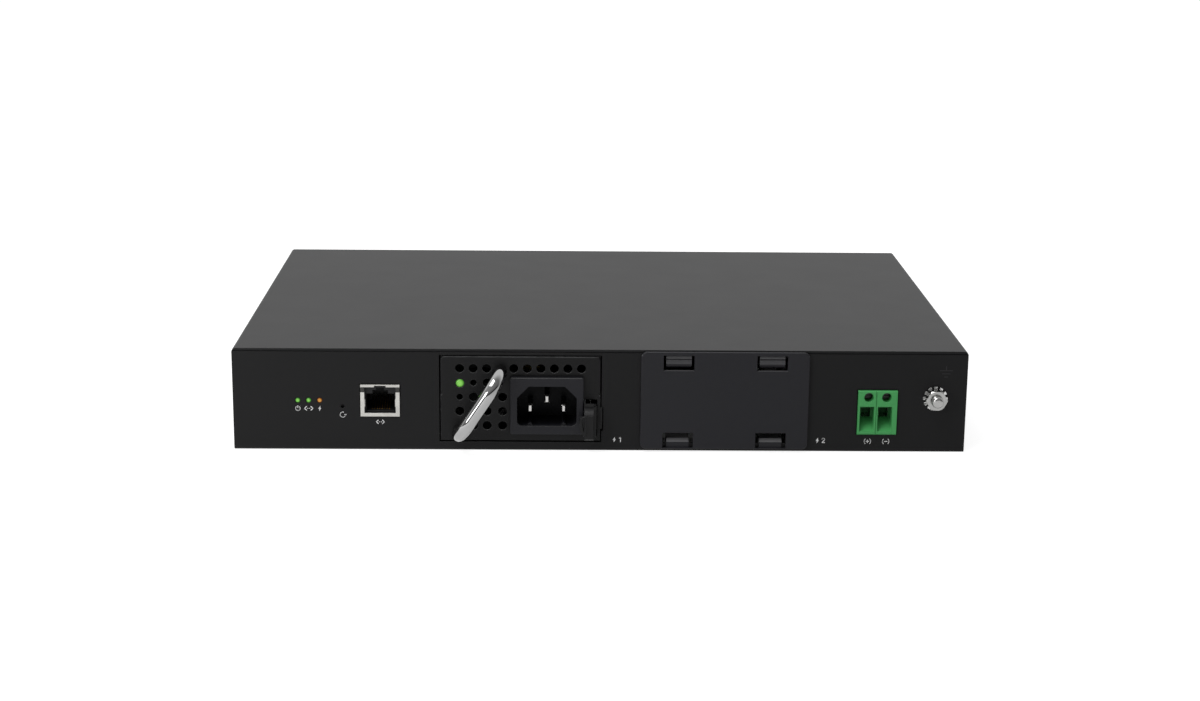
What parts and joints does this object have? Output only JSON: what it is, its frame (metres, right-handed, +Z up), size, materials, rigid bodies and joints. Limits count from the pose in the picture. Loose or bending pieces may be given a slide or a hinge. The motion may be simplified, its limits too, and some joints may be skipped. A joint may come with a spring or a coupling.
{
  "type": "rackmount power supply",
  "caption": "Rack-height power supply shelf with a plug-in supply module, a blanked spare bay, a network port, output terminals and an earth stud.",
  "frame": {"origin": "centre of the chassis's flat bottom face, midway between its sides and between its front and rear panels", "axes": "+X towards the right side as seen from the front, -Y out of the front panel, +Z up"},
  "size_m": [0.306, 0.221, 0.0437],
  "materials": {
    "chassis_paint": "fine matt powder coat, near black",
    "module_paint": "smooth matt black coat",
    "bay_steel": "zinc-plated sheet steel",
    "plated_steel": "bright nickel or zinc plate",
    "glide_plastic": "plain moulded black plastic",
    "board": "green circuit board with solder mask",
    "socket_plastic": "black moulding",
    "can_sleeve": "dark shrink sleeve with a bare metal top",
    "port_metal": "bright tin-plated sheet",
    "contact_gold": "gold-plated spring wire",
    "pin_metal": "bright nickel-plated metal",
    "green_lamp": "clear lamp, lit green",
    "amber_lamp": "clear lamp, lit amber",
    "terminal_green": "bright green moulded plastic",
    "blank_plastic": "dark grey moulded plastic, fine texture",
    "inlet_plastic": "dark grey moulded plastic",
    "latch_plastic": "black moulded plastic",
    "handle_chrome": "polished chrome plate",
    "copper": "enamelled copper wire",
    "winding_tape": "yellow insulating tape",
    "sink_aluminium": "extruded aluminium"
  },
  "bodies": {
    "chassis": {"chassis_base": "chassis_paint", "top_cover": "chassis_paint", "cover_screws": "chassis_paint", "ear_nuts": "plated_steel", "module_bay": "bay_steel", "spare_bay": "bay_steel", "bay_glides": "glide_plastic", "control_board": "board", "power_board": "board", "chassis_standoffs": "plated_steel", "chassis_board_screws": "plated_steel", "module_socket": "socket_plastic", "spare_socket": "socket_plastic", "output_capacitors": "can_sleeve", "port_shield": "port_metal", "port_insert": "socket_plastic", "port_contacts": "contact_gold", "led_holder": "glide_plastic", "power_led": "green_lamp", "link_led": "green_lamp", "supply_led": "amber_lamp", "reset_switch_body": "glide_plastic", "terminal_header": "terminal_green", "header_pins": "pin_metal", "ground_stud": "plated_steel", "ground_washer": "plated_steel", "ground_nut": "plated_steel"},
    "module": {"module_case": "module_paint", "module_lid": "module_paint", "module_lid_screws": "module_paint", "module_handle": "handle_chrome", "handle_screws": "plated_steel", "module_led": "green_lamp", "inlet_housing": "inlet_plastic", "inlet_pins": "pin_metal", "latch_bracket": "bay_steel", "latch_pin": "plated_steel", "module_board": "board", "module_standoffs": "plated_steel", "module_board_screws": "plated_steel", "emi_choke_core": "socket_plastic", "emi_choke_windings": "copper", "filter_capacitor": "winding_tape", "bulk_capacitors": "can_sleeve", "heatsink": "sink_aluminium", "power_transistors": "socket_plastic", "transformer_core": "socket_plastic", "transformer_winding": "winding_tape", "smoothing_capacitors": "can_sleeve", "fan_bracket": "module_paint", "fan_frame": "glide_plastic", "fan_screws": "module_paint"},
    "latch": {"latch_lever": "latch_plastic", "latch_spring": "plated_steel"},
    "fan_rotor": {"fan_rotor": "glide_plastic"},
    "blank_cover": {"blank_cover": "blank_plastic"},
    "terminal_plug": {"terminal_plug": "terminal_green", "terminal_boxes": "pin_metal", "terminal_screws": "plated_steel"},
    "reset_plunger": {"reset_plunger": "glide_plastic"}
  },
  "joints": [
    {"name": "module_slide", "type": "slide", "parent": "chassis", "child": "module", "axis": [0, -1, 0], "range_m": [0, 0.165]},
    {"name": "latch_press", "type": "hinge", "parent": "module", "child": "latch", "pos_m": [-0.00387, -0.08, 0.0138], "axis": [0, 0, -1], "range_deg": [0, 5], "stiffness_Nm_per_rad": 0.2},
    {"name": "fan_spin", "type": "hinge", "parent": "module", "child": "fan_rotor", "pos_m": [-0.05057, -0.0895, 0.0225], "axis": [0, -1, 0], "continuous": true},
    {"name": "blank_cover_slide", "type": "slide", "parent": "chassis", "child": "blank_cover", "axis": [0, -1, 0], "range_m": [0, 0.03]},
    {"name": "terminal_plug_slide", "type": "slide", "parent": "chassis", "child": "terminal_plug", "axis": [0, -1, 0], "range_m": [0, 0.025]},
    {"name": "reset_press", "type": "slide", "parent": "chassis", "child": "reset_plunger", "axis": [0, 1, 0], "range_m": [0, 0.0005], "stiffness_N_per_m": 2000}
  ]
}
